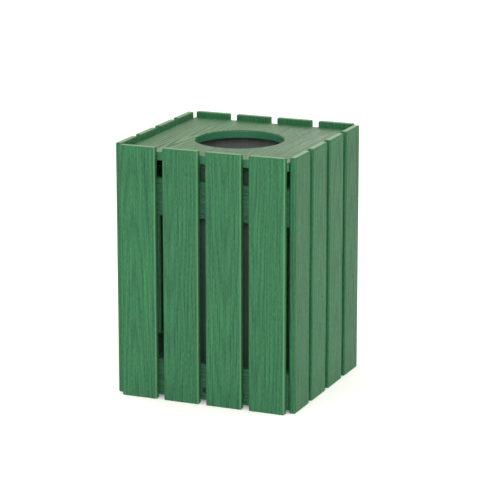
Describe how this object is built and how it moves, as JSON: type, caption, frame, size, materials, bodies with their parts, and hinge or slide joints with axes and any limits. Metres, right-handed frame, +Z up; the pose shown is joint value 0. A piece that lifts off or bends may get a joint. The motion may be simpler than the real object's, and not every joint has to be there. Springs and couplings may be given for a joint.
{
  "type": "litter bin",
  "caption": "Square slatted litter bin in green recycled plastic lumber, with a recessed lift-off lid that has a round throat and a round lift-out liner.",
  "frame": {"origin": "on the ground, under the centre of the square footprint", "axes": "+Z up, -Y towards the front, +X to the right as seen from the front"},
  "size_m": [0.709, 0.709, 0.95],
  "materials": {
    "green_lumber": "embossed wood grain, satin",
    "green_sheet": "embossed wood grain, satin",
    "liner_plastic": "moulded, matt",
    "stainless_steel": "plain turned"
  },
  "bodies": {
    "frame": {"front_slat_1": "green_lumber", "front_slat_2": "green_lumber", "front_slat_3": "green_lumber", "front_slat_4": "green_lumber", "right_slat_1": "green_lumber", "right_slat_2": "green_lumber", "right_slat_3": "green_lumber", "right_slat_4": "green_lumber", "back_slat_1": "green_lumber", "back_slat_2": "green_lumber", "back_slat_3": "green_lumber", "back_slat_4": "green_lumber", "left_slat_1": "green_lumber", "left_slat_2": "green_lumber", "left_slat_3": "green_lumber", "left_slat_4": "green_lumber", "lower_front_rail": "green_lumber", "lower_right_rail": "green_lumber", "lower_back_rail": "green_lumber", "lower_left_rail": "green_lumber", "upper_front_rail": "green_lumber", "upper_right_rail": "green_lumber", "upper_back_rail": "green_lumber", "upper_left_rail": "green_lumber", "front_right_post": "green_lumber", "back_right_post": "green_lumber", "back_left_post": "green_lumber", "front_left_post": "green_lumber", "left_floor_board": "green_lumber", "middle_floor_board": "green_lumber", "right_floor_board": "green_lumber", "front_slat_screws": "stainless_steel", "right_slat_screws": "stainless_steel", "back_slat_screws": "stainless_steel", "left_slat_screws": "stainless_steel", "front_post_screws": "stainless_steel", "right_post_screws": "stainless_steel", "back_post_screws": "stainless_steel", "left_post_screws": "stainless_steel", "front_lag_screws": "stainless_steel", "back_lag_screws": "stainless_steel", "front_lag_washers": "stainless_steel", "back_lag_washers": "stainless_steel"},
    "liner": {"liner": "liner_plastic"},
    "lid": {"lid_panel": "green_sheet"}
  },
  "joints": [
    {"name": "liner_lift", "type": "slide", "parent": "frame", "child": "liner", "axis": [0, 0, 1], "range_m": [0, 0.9]},
    {"name": "lid_lift", "type": "slide", "parent": "liner", "child": "lid", "axis": [0, 0, 1], "range_m": [0, 0.3]}
  ]
}
